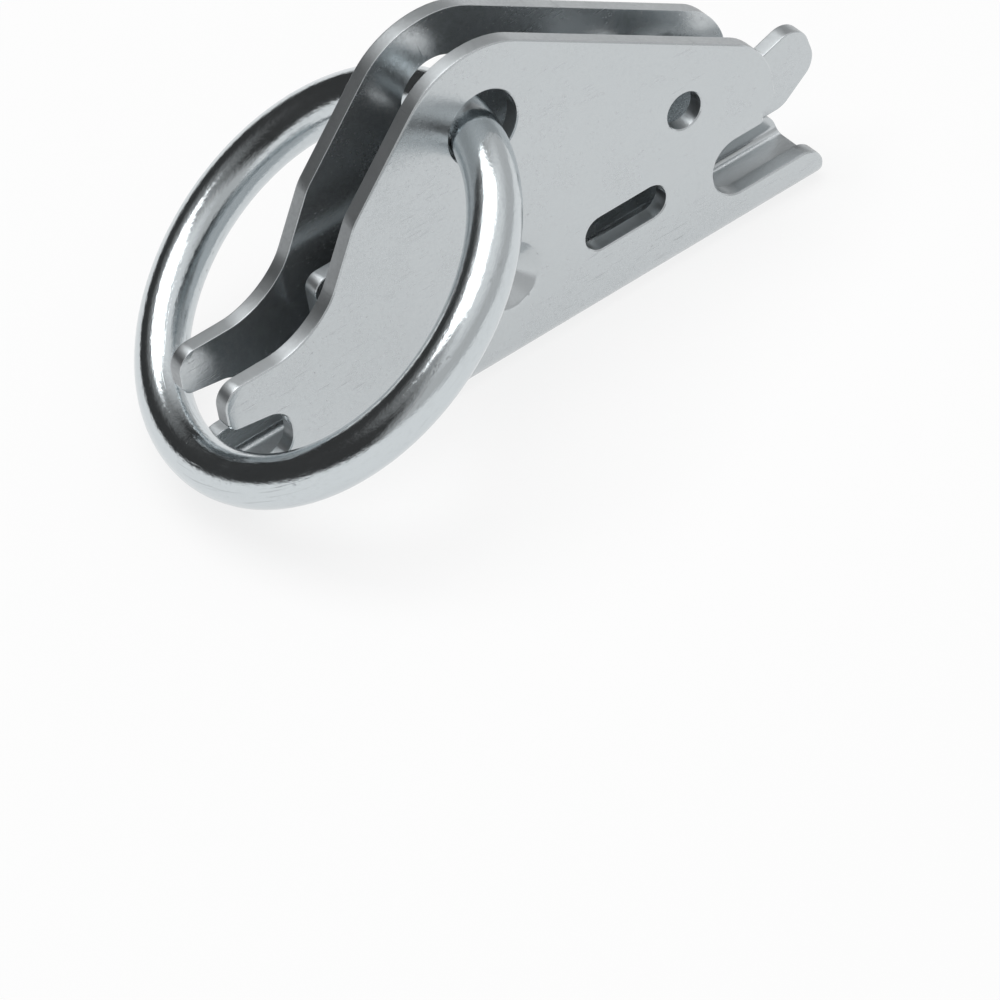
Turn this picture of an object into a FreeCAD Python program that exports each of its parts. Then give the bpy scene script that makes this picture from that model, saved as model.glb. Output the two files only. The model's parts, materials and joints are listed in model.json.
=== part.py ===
import FreeCAD
import Part
import Sketcher
import math
import os
import re

# O-ring tie-down anchor for a slotted cargo track, in millimetres.
#
# One steel sheet is folded into a channel: a narrow web at the bottom and two
# side plates. Both plates have the same outline, with a tie ring through
# round holes near the top and a notch at each end of the base. The left notch
# hooks one end of a track slot and the right notch the other. A flat latch
# between the plates turns on two bosses pressed inward out of the plates. A
# coil spring under its tail holds its foot down inside the right notch, and
# the rounded nose at the right is the finger tab that lifts it.
#
# Frame: X along the base towards the nose, Y across the plates, Z up. The
# origin is on the underside of the web, in the middle plane between the
# plates, straight below the ring hole.

SIZES = [
    ("sheet_thickness", 2.0, "steel sheet of the channel"),
    ("channel_width", 10.6, "over the outer faces of the two plates"),
    ("bend_radius", 3.0, "outer radius of the two folds"),
    ("edge_round", 0.35, "rolled edge that the punch leaves on the outer faces"),
    ("hook_span", 57.4, "between the inner ends of the two notches, set by the track's slot"),
    ("left_lip_height", 5.6, "underside to the floor of the left notch"),
    ("left_lip_reach", 6.5, "left lip, past the notch's inner end"),
    ("right_lip_height", 5.0, "underside to the floor of the right notch"),
    ("right_lip_reach", 14.5, "right lip, past the notch's inner end"),
    ("lip_tip_radius", 3.0, "round on the upper corner of each lip"),
    ("left_notch_height", 6.1, "left notch at its inner end"),
    ("left_notch_flare", 1.2, "rise of the left notch's roof towards its mouth"),
    ("left_notch_depth", 7.5, "left tab, past the notch's inner end"),
    ("tab_thickness", 5.2, "left tab, top to bottom at its tip"),
    ("tab_length", 12.8, "tip of the left tab to the corner above it"),
    ("tab_tip_radius", 1.5, "rounds at the tip of the left tab"),
    ("throat_radius", 10.0, "round in the corner above the left tab"),
    ("waist_run", 6.7, "that corner to the bend in the left edge, along"),
    ("waist_drop", 2.8, "ring hole's centre down to the bend in the left edge"),
    ("waist_radius", 5.0, "round on that bend"),
    ("right_notch_height", 7.2, "right notch, floor to roof"),
    ("right_roof_length", 7.5, "roof of the right notch"),
    ("shoulder_step", 1.7, "step between the notch's roof and the shoulder"),
    ("shoulder_overhang", 2.0, "shoulder, past the mouth of the notch's roof"),
    ("shoulder_rise", 9.7, "notch's roof to where the right edge and the sloping top would meet"),
    ("shoulder_radius", 7.5, "round between the right edge and the sloping top"),
    ("crown_right_x", 3.9, "right end of the crown over the ring hole"),
    ("crown_right_rise", 9.85, "ring hole's centre up to that end"),
    ("crown_right_radius", 8.0, "round at that end"),
    ("crown_left_x", 4.6, "left end of the crown over the ring hole"),
    ("crown_left_rise", 10.9, "ring hole's centre up to that end"),
    ("crown_left_radius", 3.5, "round at that end"),
    ("small_hole_inset", 2.4, "small hole's centre to the right notch's inner end"),
    ("small_hole_rise", 7.6, "right notch's roof to the small hole's centre"),
    ("small_hole_diameter", 4.5, "small hole in each plate"),
    ("window_shift", 0.7, "window's centre, left of the middle between boss and notch"),
    ("window_height", 10.4, "underside to the middle of the long window"),
    ("window_length", 11.0, "long window, end to end"),
    ("window_width", 4.2, "long window, across"),
    ("pivot_height", 11.8, "axis on which the latch turns"),
    ("dimple_radius", 4.3, "mouth of the dimple in each outer face"),
    ("dimple_floor_radius", 1.6, "flat at the bottom of the dimple"),
    ("dimple_depth", 2.4, "depth of the dimple"),
    ("boss_root_radius", 5.3, "boss behind the dimple, at the plate"),
    ("boss_face_radius", 4.1, "boss behind the dimple, beside the latch"),
    ("boss_side_gap", 0.1, "boss face to latch face"),
    ("pivot_radius", 2.95, "stub on each boss that carries the latch"),
    ("pivot_clearance", 0.05, "running clearance of the latch on its stubs"),
    ("stub_gap", 0.24, "between the ends of the two stubs"),
    ("ring_hole_height", 32.7, "underside to the centre of the ring hole"),
    ("ring_hole_clearance", 3.0, "ring hole's diameter, over that of the ring's bar"),
    ("ring_bar_diameter", 6.0, "bar of the tie ring"),
    ("ring_inner_diameter", 40.0, "clear inside diameter of the tie ring"),
    ("ring_seat_offset", 0.45, "how far the bar lies from the hole's centre"),
    ("ring_swing_gap", 0.76, "ring to the tip of the left tab, as it swings past"),
    ("ring_rest_gap", 0.1, "ring to the left lip at rest"),
    ("ring_lean", 7.0, "lean of the loose ring towards the far plate, in degrees"),
    ("latch_thickness", 2.0, "flat latch plate"),
    ("latch_edge_round", 0.2, "rolled edge on the latch plate"),
    ("latch_rise", 9.6, "pivot up to the latch's straight top edge"),
    ("latch_depth", 12.7, "latch's top edge down to its straight lower edge"),
    ("tail_depth", 7.4, "latch's top edge down to the tail's lower edge"),
    ("tail_overhang", 6.6, "spring's axis to the end of the tail"),
    ("tail_radius", 1.7, "rounds on the end of the tail"),
    ("eye_margin", 2.5, "metal below the latch's pivot hole"),
    ("foot_reach", 1.3, "foot, past the right notch's inner end"),
    ("foot_width", 4.0, "foot, left to right"),
    ("foot_gap", 0.1, "below the foot when the latch is at rest"),
    ("foot_radius", 0.9, "rounds on the foot"),
    ("slope_start", 6.2, "start of the latch's downward slope to the plates' right edge"),
    ("neck_reach", 0.9, "neck of the nose, past the plates' right edge"),
    ("neck_drop", 4.9, "latch's top edge down to the neck"),
    ("nose_top_reach", 7.5, "upper corner of the nose, past the plates' right edge"),
    ("nose_top_drop", 2.8, "latch's top edge down to that corner"),
    ("nose_reach", 8.7, "right corner of the nose, past the plates' right edge"),
    ("nose_low_drop", 9.1, "latch's top edge down to that corner"),
    ("heel_reach", 3.5, "where the nose's underside starts to rise, past the right edge"),
    ("nose_radius", 2.7, "rounds on the nose"),
    ("spring_x", 15.0, "pivot to the spring, to the left"),
    ("spring_bar_diameter", 0.8, "spring wire"),
    ("spring_side_gap", 0.5, "spring to the plate on each side"),
    ("spring_turns", 6.5, "turns of the spring"),
    ("peg_length", 2.0, "peg under the tail that holds the spring"),
    ("peg_gap", 0.5, "peg to the inside of the spring"),
    ("seat_height", 1.2, "button on the web that holds the spring"),
    ("seat_gap", 0.4, "button to the inside of the spring"),
    ("seat_wall", 0.3, "wall of the button round its punched recess"),
]

# Lengths that follow from the sizes above. The left end of the plates is set
# by the ring, which has to swing past the left tab. The right end is set by
# the left one and the track's slot.
DERIVED = {
    "ring_mean_radius": "(ring_inner_diameter + ring_bar_diameter) / 2",
    "ring_touch_y": "channel_width / 2 - edge_round",
    "bar_in_plane": "sqrt(ring_mean_radius^2 - (ring_touch_y / cos(ring_lean))^2)",
    "bar_reach": "ring_mean_radius + ring_seat_offset + bar_in_plane",
    "bar_dip": "ring_touch_y * tan(ring_lean)",
    "bar_far": "sqrt(bar_reach^2 + bar_dip^2)",
    "left_notch_roof": "left_lip_height + left_notch_height",
    "left_notch_mouth": "left_notch_roof + left_notch_flare",
    "swing_room": "bar_reach - ring_bar_diameter / 2 - ring_swing_gap",
    "tab_reach": "sqrt(swing_room^2 - (ring_hole_height - left_notch_mouth)^2)",
    "tab_top": "left_notch_mouth + tab_thickness",
    "left_notch_end": "tab_reach - left_notch_depth",
    "base_left": "left_notch_end + left_lip_reach",
    "throat_x": "tab_reach - tab_length",
    "waist_x": "throat_x - waist_run",
    "waist_height": "ring_hole_height - waist_drop",
    "right_notch_end": "hook_span - left_notch_end",
    "right_notch_roof": "right_lip_height + right_notch_height",
    "right_notch_mouth": "right_notch_end + right_roof_length",
    "base_right": "right_notch_end + right_lip_reach",
    "shoulder_low": "right_notch_roof + shoulder_step",
    "shoulder_reach": "right_notch_mouth + shoulder_overhang",
    "shoulder_top": "right_notch_roof + shoulder_rise",
    "crown_right_height": "ring_hole_height + crown_right_rise",
    "crown_left_height": "ring_hole_height + crown_left_rise",
    "half_width": "channel_width / 2",
    "half_gap": "channel_width / 2 - sheet_thickness",
    "latch_top": "pivot_height + latch_rise",
    "latch_underside": "latch_top - latch_depth",
    "tail_underside": "latch_top - tail_depth",
    "eye_reach": "pivot_radius + eye_margin",
    "foot_right": "right_notch_end + foot_reach",
    "foot_left": "foot_right - foot_width",
    "spring_mean_radius": "half_gap - spring_side_gap - spring_bar_diameter / 2",
    "spring_inner_radius": "spring_mean_radius - spring_bar_diameter / 2",
    "seat_radius": "spring_inner_radius - seat_gap",
    "peg_half_width": "spring_inner_radius - peg_gap",
    "lip_across": "base_left - lip_tip_radius",
    "lip_down": "ring_hole_height - left_lip_height + lip_tip_radius",
    "lip_far": "sqrt(lip_across^2 + lip_down^2)",
    "lip_touch": "ring_bar_diameter / 2 + lip_tip_radius + ring_rest_gap",
    "lip_angle": "acos((bar_far^2 + lip_far^2 - lip_touch^2) / (2 * bar_far * lip_far))",
    "ring_rest_angle": "atan(lip_down / lip_across) - lip_angle - atan(bar_dip / bar_reach)",
}

ALIASES = {alias for alias, number, note in SIZES}
OVERRUN = 5.0


def bound(text):
    """Write an expression out in references to the sheet's cells."""
    def reference(word):
        name = word.group()
        if name in DERIVED:
            return "(" + bound(DERIVED[name]) + ")"
        return "Sizes." + name if name in ALIASES else name
    return re.sub(r"[a-z_]+", reference, text)


def number(text):
    """The present value of an expression."""
    return float(SHEET.evalExpression(bound(text)))


def fill_sheet(sheet):
    for row, (alias, size, note) in enumerate(SIZES, start=1):
        sheet.set("A%d" % row, str(size))
        sheet.setAlias("A%d" % row, alias)
        sheet.set("B%d" % row, note)


def new_body(label):
    body = DOC.addObject("PartDesign::Body", label)
    body.Label = label
    return body


def new_sketch(body, name, role, offset=None):
    """A sketch on one of the body's own origin planes, moved by bound offsets."""
    sketch = body.newObject("Sketcher::SketchObject", name)
    plane = [item for item in body.Origin.OriginFeatures if item.Role == role][0]
    sketch.AttachmentSupport = [(plane, "")]
    sketch.MapMode = "FlatFace"
    for axis, text in (offset or {}).items():
        sketch.setExpression("AttachmentOffset.Base." + axis, bound(text))
    return sketch


def constrain(sketch, kind, *arguments, text=None):
    """Add a constraint, bound to the sheet where an expression is given."""
    if text is None:
        return sketch.addConstraint(Sketcher.Constraint(kind, *arguments))
    index = sketch.addConstraint(Sketcher.Constraint(kind, *arguments, number(text)))
    sketch.setExpression("Constraints[%d]" % index, bound(text))
    return index


def anchor_point(sketch, geometry, end, across, up):
    """Tie a vertex to the sketch's origin with two bound distances."""
    constrain(sketch, "DistanceX", -1, 1, geometry, end, text=across)
    constrain(sketch, "DistanceY", -1, 1, geometry, end, text=up)


def add_circle(sketch, across, up, radius):
    centre = FreeCAD.Vector(number(across), number(up), 0)
    circle = sketch.addGeometry(Part.Circle(centre, FreeCAD.Vector(0, 0, 1), number(radius)))
    anchor_point(sketch, circle, 3, across, up)
    constrain(sketch, "Radius", circle, text=radius)


def corner_frame(before, corner, after, radius):
    """Tangent points, arc centre and turning sense of a rounded corner."""
    arriving = (corner - before).normalize()
    leaving = (after - corner).normalize()
    turn = math.atan2(arriving.x * leaving.y - arriving.y * leaving.x, arriving.dot(leaving))
    reach = radius * math.tan(abs(turn) / 2)
    start = corner - arriving * reach
    finish = corner + leaving * reach
    side = FreeCAD.Vector(-arriving.y, arriving.x, 0) * math.copysign(radius, turn)
    return start, finish, start + side, turn


def add_corner_arc(sketch, centre, radius, start, finish, turn):
    """A corner arc, with the numbers of its first and last vertex on the way round."""
    first, last = (start, finish) if turn > 0 else (finish, start)
    opening = math.atan2(first.y - centre.y, first.x - centre.x)
    closing = math.atan2(last.y - centre.y, last.x - centre.x)
    circle = Part.Circle(centre, FreeCAD.Vector(0, 0, 1), radius)
    arc = sketch.addGeometry(Part.ArcOfCircle(circle, opening, closing))
    return (arc, 1, 2) if turn > 0 else (arc, 2, 1)


def add_outline(sketch, corners):
    """A closed outline of straight lines with rounded corners, all bound to the sheet.

    Each corner is (across, up, radius) as expressions, with radius None where it is sharp.
    """
    count = len(corners)
    points = [FreeCAD.Vector(number(across), number(up), 0) for across, up, radius in corners]
    frames = []
    for index, (across, up, radius) in enumerate(corners):
        if radius is None:
            frames.append(None)
        else:
            frames.append(corner_frame(points[index - 1], points[index], points[(index + 1) % count], number(radius)))
    lines = []
    for index in range(count):
        following = (index + 1) % count
        start = frames[index][1] if frames[index] else points[index]
        finish = frames[following][0] if frames[following] else points[following]
        lines.append(sketch.addGeometry(Part.LineSegment(start, finish)))
    for index, (across, up, radius) in enumerate(corners):
        arriving, leaving = lines[index - 1], lines[index]
        if radius is None:
            constrain(sketch, "Coincident", arriving, 2, leaving, 1)
            anchor_point(sketch, leaving, 1, across, up)
            continue
        start, finish, centre, turn = frames[index]
        arc, first, last = add_corner_arc(sketch, centre, number(radius), start, finish, turn)
        corner = sketch.addGeometry(Part.Point(points[index]), True)
        constrain(sketch, "Tangent", arriving, 2, arc, first)
        constrain(sketch, "Tangent", arc, last, leaving, 1)
        constrain(sketch, "PointOnObject", corner, 1, arriving)
        constrain(sketch, "PointOnObject", corner, 1, leaving)
        constrain(sketch, "Radius", arc, text=radius)
        anchor_point(sketch, corner, 1, across, up)


def add_slot(sketch, across, up, length, width):
    """A slot with full round ends, lying along the sketch's first axis."""
    half = "(%s - %s) / 2" % (length, width)
    left, right = "%s - %s" % (across, half), "%s + %s" % (across, half)
    radius = number(width) / 2
    normal = FreeCAD.Vector(0, 0, 1)
    ends = [FreeCAD.Vector(number(place), number(up), 0) for place in (left, right)]
    rise = FreeCAD.Vector(0, radius, 0)
    arc_left = sketch.addGeometry(Part.ArcOfCircle(Part.Circle(ends[0], normal, radius), math.pi / 2, 3 * math.pi / 2))
    arc_right = sketch.addGeometry(Part.ArcOfCircle(Part.Circle(ends[1], normal, radius), -math.pi / 2, math.pi / 2))
    floor = sketch.addGeometry(Part.LineSegment(ends[0] - rise, ends[1] - rise))
    roof = sketch.addGeometry(Part.LineSegment(ends[1] + rise, ends[0] + rise))
    constrain(sketch, "Tangent", arc_left, 2, floor, 1)
    constrain(sketch, "Tangent", floor, 2, arc_right, 1)
    constrain(sketch, "Tangent", arc_right, 2, roof, 1)
    constrain(sketch, "Tangent", roof, 2, arc_left, 1)
    anchor_point(sketch, arc_left, 3, left, up)
    constrain(sketch, "DistanceX", -1, 1, arc_right, 3, text=right)
    constrain(sketch, "Radius", arc_left, text="%s / 2" % width)


def add_feature(body, kind, name, sketch, symmetric_length=None, length=None):
    """A pad or pocket, either centred on its sketch or to one side of it."""
    feature = body.newObject("PartDesign::" + kind, name)
    feature.Profile = sketch
    if symmetric_length is not None:
        feature.Midplane = True
        feature.setExpression("Length", bound(symmetric_length))
    else:
        feature.setExpression("Length", bound(length))
    sketch.Visibility = False
    return feature


def turn_profile(body, kind, name, sketch):
    """Revolve a sketch's profile about the sketch's first axis."""
    feature = body.newObject("PartDesign::" + kind, name)
    feature.Profile = sketch
    feature.ReferenceAxis = (sketch, ["H_Axis"])
    feature.Angle = 360.0
    return feature


def round_edges(body, name, radius, wanted):
    """Fillet the edges of the body's last feature that a test picks out."""
    DOC.recompute()
    base = body.Tip
    names = ["Edge%d" % (index + 1) for index, edge in enumerate(base.Shape.Edges) if wanted(edge)]
    fillet = body.newObject("PartDesign::Fillet", name)
    fillet.Base = (base, names)
    fillet.setExpression("Radius", bound(radius))
    return fillet


def lies_at(edge, distance):
    """True for an edge that lies wholly in one of the planes Y = distance or Y = -distance."""
    box = edge.BoundBox
    return abs(abs(box.YMin) - distance) < 1e-4 and abs(box.YMax - box.YMin) < 1e-4


def fold_channel(body):
    """The folded sheet before its ends and notches are cut: two plates on a web."""
    outer, inner = "half_width", "half_gap"
    top = "max(crown_left_height; crown_right_height) + %s" % OVERRUN
    inner_radius = "(bend_radius - sheet_thickness)"
    section = new_sketch(body, "ChannelSection", "YZ_Plane")
    add_outline(section, [
        ("-" + outer, "0", "bend_radius"),
        (outer, "0", "bend_radius"),
        (outer, top, None),
        (inner, top, None),
        (inner, "sheet_thickness", inner_radius),
        ("-" + inner, "sheet_thickness", inner_radius),
        ("-" + inner, top, None),
        ("-" + outer, top, None),
    ])
    add_feature(body, "Pad", "Channel", section, symmetric_length="2 * max(base_right; tab_reach) + %s" % OVERRUN)


def plate_outline():
    """The outline that both plates share, anticlockwise from the base's left end."""
    left_round = "min(2.9; 0.48 * left_notch_height; left_lip_reach - lip_tip_radius - 0.3)"
    right_round = "min(3.55; 0.48 * right_notch_height)"
    step_round = "0.25 * shoulder_overhang"
    shoulder_round = "min(shoulder_radius; 1.2 * (shoulder_rise - shoulder_step - 0.7 * shoulder_overhang))"
    return [
        ("-base_left", "0", None),
        ("base_right", "0", None),
        ("base_right", "right_lip_height", "lip_tip_radius"),
        ("right_notch_end", "right_lip_height", right_round),
        ("right_notch_end", "right_notch_roof", right_round),
        ("right_notch_mouth", "right_notch_roof", step_round),
        ("right_notch_mouth", "shoulder_low", step_round),
        ("shoulder_reach", "shoulder_low", "0.7 * shoulder_overhang"),
        ("shoulder_reach", "shoulder_top", shoulder_round),
        ("crown_right_x", "crown_right_height", "crown_right_radius"),
        ("-crown_left_x", "crown_left_height", "crown_left_radius"),
        ("-waist_x", "waist_height", "waist_radius"),
        ("-throat_x", "tab_top", "throat_radius"),
        ("-tab_reach", "tab_top", "tab_tip_radius"),
        ("-tab_reach", "left_notch_mouth", "tab_tip_radius * 0.8"),
        ("-left_notch_end", "left_notch_roof", left_round),
        ("-left_notch_end", "left_lip_height", left_round),
        ("-base_left", "left_lip_height", "lip_tip_radius"),
    ]


def trim_to_outline(body):
    """Cut away all that lies outside the plates' shared outline."""
    reach = "(2 * max(base_right; tab_reach) + %s)" % OVERRUN
    top = "max(crown_left_height; crown_right_height) + 2 * %s" % OVERRUN
    below = "-%s" % OVERRUN
    sketch = new_sketch(body, "PlateOutline", "XZ_Plane")
    add_outline(sketch, [("-" + reach, below, None), (reach, below, None), (reach, top, None), ("-" + reach, top, None)])
    add_outline(sketch, plate_outline())
    add_feature(body, "Pocket", "OutlineCut", sketch, symmetric_length="channel_width + %s" % OVERRUN)


def pierce_plates(body):
    """Ring hole, small hole and long window, straight through both plates."""
    sketch = new_sketch(body, "PlateHoles", "XZ_Plane")
    add_circle(sketch, "0", "ring_hole_height", "(ring_bar_diameter + ring_hole_clearance) / 2")
    small_hole_x = "right_notch_end - small_hole_inset"
    add_circle(sketch, small_hole_x, "right_notch_roof + small_hole_rise", "small_hole_diameter / 2")
    window_x = "(boss_root_radius + right_notch_end) / 2 - window_shift"
    add_slot(sketch, window_x, "window_height", "window_length", "window_width")
    add_feature(body, "Pocket", "PlateHolesCut", sketch, symmetric_length="channel_width + %s" % OVERRUN)


def press_bosses(body):
    """Bosses pressed inward from each plate, with a stub that enters the latch's hole."""
    shoulder = "(latch_thickness / 2 + boss_side_gap)"
    middle = "(half_width - sheet_thickness / 2)"
    bosses = new_sketch(body, "BossSection", "YZ_Plane", {"y": "pivot_height"})
    dimples = new_sketch(body, "DimpleSection", "YZ_Plane", {"y": "pivot_height"})
    for sign in ("", "-"):
        add_outline(bosses, [
            (sign + "(stub_gap / 2)", "0", None),
            (sign + "(stub_gap / 2)", "pivot_radius", "0.2"),
            (sign + shoulder, "pivot_radius", None),
            (sign + shoulder, "boss_face_radius", "0.5"),
            (sign + "half_gap", "boss_root_radius", None),
            (sign + middle, "boss_root_radius", None),
            (sign + middle, "0", None),
        ])
        add_outline(dimples, [
            (sign + "(half_width - dimple_depth)", "0", None),
            (sign + "(half_width - dimple_depth)", "dimple_floor_radius", "1.5 * dimple_floor_radius"),
            (sign + "half_width", "dimple_radius", None),
            (sign + "(half_width + 1)", "dimple_radius", None),
            (sign + "(half_width + 1)", "0", None),
        ])
    turn_profile(body, "Revolution", "Bosses", bosses)
    turn_profile(body, "Groove", "Dimples", dimples)


def press_spring_seat(body):
    """A button pushed up out of the web, which the end of the spring sits round."""
    button = new_sketch(body, "SeatButton", "XY_Plane", {"z": "sheet_thickness / 2"})
    add_circle(button, "-spring_x", "0", "seat_radius")
    add_feature(body, "Pad", "Seat", button, length="sheet_thickness / 2 + seat_height")
    recess = new_sketch(body, "SeatRecess", "XY_Plane")
    add_circle(recess, "-spring_x", "0", "seat_radius - seat_wall")
    cut = add_feature(body, "Pocket", "SeatRecessCut", recess, length="seat_height")
    cut.Reversed = True


def make_channel():
    body = new_body("channel_body")
    fold_channel(body)
    trim_to_outline(body)
    pierce_plates(body)
    press_bosses(body)
    press_spring_seat(body)
    face = number("channel_width / 2")
    round_edges(body, "RolledEdges", "edge_round", lambda edge: lies_at(edge, face))
    return body


def latch_outline():
    """The latch's outline, anticlockwise from the lower corner of its tail."""
    tail_end = "-(spring_x + tail_overhang)"
    peg_left, peg_right = "-(spring_x + peg_half_width)", "-(spring_x - peg_half_width)"
    peg_low = "tail_underside - peg_length"
    peg_round = "min(0.5; 0.4 * peg_half_width)"
    eye_low = "pivot_height - eye_reach"
    foot_low = "sheet_thickness + foot_gap"
    return [
        (tail_end, "tail_underside", "tail_radius"),
        (peg_left, "tail_underside", None),
        (peg_left, peg_low, peg_round),
        (peg_right, peg_low, peg_round),
        (peg_right, "tail_underside", None),
        ("-(eye_reach + 2)", "tail_underside", "2"),
        ("-eye_reach", eye_low, "4"),
        ("eye_reach", eye_low, "4"),
        ("eye_reach + 2", "latch_underside", "2"),
        ("foot_left", "latch_underside", "foot_radius"),
        ("foot_left", foot_low, "foot_radius"),
        ("foot_right", foot_low, "foot_radius"),
        ("foot_right", "latch_underside", "foot_radius"),
        ("shoulder_reach + heel_reach", "latch_underside", "nose_radius"),
        ("shoulder_reach + nose_reach", "latch_top - nose_low_drop", "nose_radius"),
        ("shoulder_reach + nose_top_reach", "latch_top - nose_top_drop", "nose_radius"),
        ("shoulder_reach + neck_reach", "latch_top - neck_drop", "nose_radius"),
        ("shoulder_reach - slope_start", "latch_top", "4"),
        (tail_end, "latch_top", "tail_radius"),
    ]


def make_latch():
    body = new_body("latch")
    plate = new_sketch(body, "LatchOutline", "XZ_Plane")
    add_outline(plate, latch_outline())
    add_circle(plate, "0", "pivot_height", "pivot_radius + pivot_clearance")
    add_feature(body, "Pad", "LatchPlate", plate, symmetric_length="latch_thickness")
    face, pivot_z = number("latch_thickness / 2"), number("pivot_height")
    bore = number("pivot_radius + pivot_clearance")
    round_edges(body, "LatchEdges", "latch_edge_round",
                lambda edge: lies_at(edge, face) and not is_circle_at(edge, 0, pivot_z, bore))
    return body


def is_circle_at(edge, across, up, radius):
    curve = edge.Curve
    if not isinstance(curve, Part.Circle):
        return False
    return abs(curve.Center.x - across) + abs(curve.Center.z - up) + abs(curve.Radius - radius) < 1e-3


def make_ring():
    """The tie ring, a round bar bent to a circle, lying down on the far plate's left lip."""
    ring = DOC.addObject("Part::Torus", "tie_ring")
    ring.Label = "tie_ring"
    ring.setExpression("Radius1", bound("ring_mean_radius"))
    ring.setExpression("Radius2", bound("ring_bar_diameter / 2"))
    reach = "(ring_mean_radius + ring_seat_offset)"
    across = "-%s * cos(ring_rest_angle)" % reach
    height = "ring_hole_height - %s * sin(ring_rest_angle)" % reach
    turn = "rotationy(-ring_rest_angle) * rotationx(-ring_lean)"
    ring.setExpression("Placement", bound("placement(vector(%s; 0; %s); %s)" % (across, height, turn)))
    return ring


def make_spring():
    """The coil spring between the web and the latch's tail."""
    body = new_body("latch_spring")
    helix_height = "(tail_underside - sheet_thickness - spring_bar_diameter)"
    wire = new_sketch(body, "SpringWire", "XZ_Plane", {"x": "-spring_x", "y": "sheet_thickness + spring_bar_diameter / 2"})
    add_circle(wire, "spring_mean_radius", "0", "spring_bar_diameter / 2")
    coil = body.newObject("PartDesign::AdditiveHelix", "Coil")
    coil.Profile = wire
    coil.ReferenceAxis = (wire, ["V_Axis"])
    coil.Mode = "height-turns-angle"
    coil.setExpression("Height", bound(helix_height))
    coil.setExpression("Turns", bound("spring_turns"))
    return body


def check_and_write(pieces):
    """Stop on any failed object, then write each piece to its own file."""
    DOC.recompute()
    for item in DOC.Objects:
        if "Invalid" in item.State or "Error" in item.State:
            raise RuntimeError("%s failed: %s" % (item.Name, item.State))
    os.makedirs("parts", exist_ok=True)
    for piece in pieces:
        shape = piece.Shape
        if shape.isNull() or not shape.isValid():
            raise RuntimeError("%s has no valid shape" % piece.Label)
        shape.exportStep(os.path.join("parts", piece.Label + ".step"))
        print("%-14s solids %d  volume %.1f" % (piece.Label, len(shape.Solids), shape.Volume))


DOC = FreeCAD.newDocument("TieDownAnchor")
SHEET = DOC.addObject("Spreadsheet::Sheet", "Sizes")
fill_sheet(SHEET)
DOC.recompute()
check_and_write([make_channel(), make_latch(), make_ring(), make_spring()])
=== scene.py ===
import json
import math

import bmesh
import bpy
from mathutils import Matrix, Vector


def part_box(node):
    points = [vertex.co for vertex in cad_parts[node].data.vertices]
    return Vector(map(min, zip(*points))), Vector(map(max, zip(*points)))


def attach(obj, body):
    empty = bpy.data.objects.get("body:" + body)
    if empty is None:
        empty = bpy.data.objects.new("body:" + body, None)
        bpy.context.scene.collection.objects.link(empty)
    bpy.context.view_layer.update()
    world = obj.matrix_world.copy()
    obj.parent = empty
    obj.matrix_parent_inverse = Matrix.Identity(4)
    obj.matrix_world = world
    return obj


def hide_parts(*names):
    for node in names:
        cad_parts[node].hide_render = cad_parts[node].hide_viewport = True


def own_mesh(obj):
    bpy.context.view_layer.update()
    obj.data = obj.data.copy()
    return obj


bl_info = {
    "name": "O-ring tie-down anchor",
    "version": (1, 0, 0),
    "blender": (4, 5, 0),
    "location": "3D View > Sidebar > Anchor",
    "description": "Models a bright zinc-plated tie-down anchor round its construction model",
    "category": "Object",
}

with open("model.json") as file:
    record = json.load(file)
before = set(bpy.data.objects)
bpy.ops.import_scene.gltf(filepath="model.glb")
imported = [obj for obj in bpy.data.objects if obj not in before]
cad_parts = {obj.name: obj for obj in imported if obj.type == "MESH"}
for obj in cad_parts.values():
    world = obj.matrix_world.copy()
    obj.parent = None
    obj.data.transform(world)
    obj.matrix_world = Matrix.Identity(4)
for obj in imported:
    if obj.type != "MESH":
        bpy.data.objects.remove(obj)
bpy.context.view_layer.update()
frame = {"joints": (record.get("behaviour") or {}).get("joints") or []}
RING_JOINT = next(joint for joint in frame["joints"] if joint["name"] == "ring_swing")
LATCH_JOINT = next(joint for joint in frame["joints"] if joint["name"] == "latch_lift")
RING_HOLE = Vector(RING_JOINT["pos_m"])
PIVOT = Vector(LATCH_JOINT["pos_m"])
MM = 0.001

# Points nearer than this lie at the same place.
SAME_PLACE = 0.001 * MM


def millimetres(value, name, description):
    """A length that the panel shows, given in millimetres."""
    return bpy.props.FloatProperty(
        name=name, description=description, default=value * MM, min=0.0, unit="LENGTH", precision=5
    )


def panel_colour(value, name, description):
    """A colour that the panel shows."""
    return bpy.props.FloatVectorProperty(
        name=name, description=description, subtype="COLOR", size=3, default=value
    )


def panel_share(value, name, description):
    """A share from 0 to 1 that the panel shows."""
    return bpy.props.FloatProperty(name=name, description=description, default=value, min=0.0, max=1.0)


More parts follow.
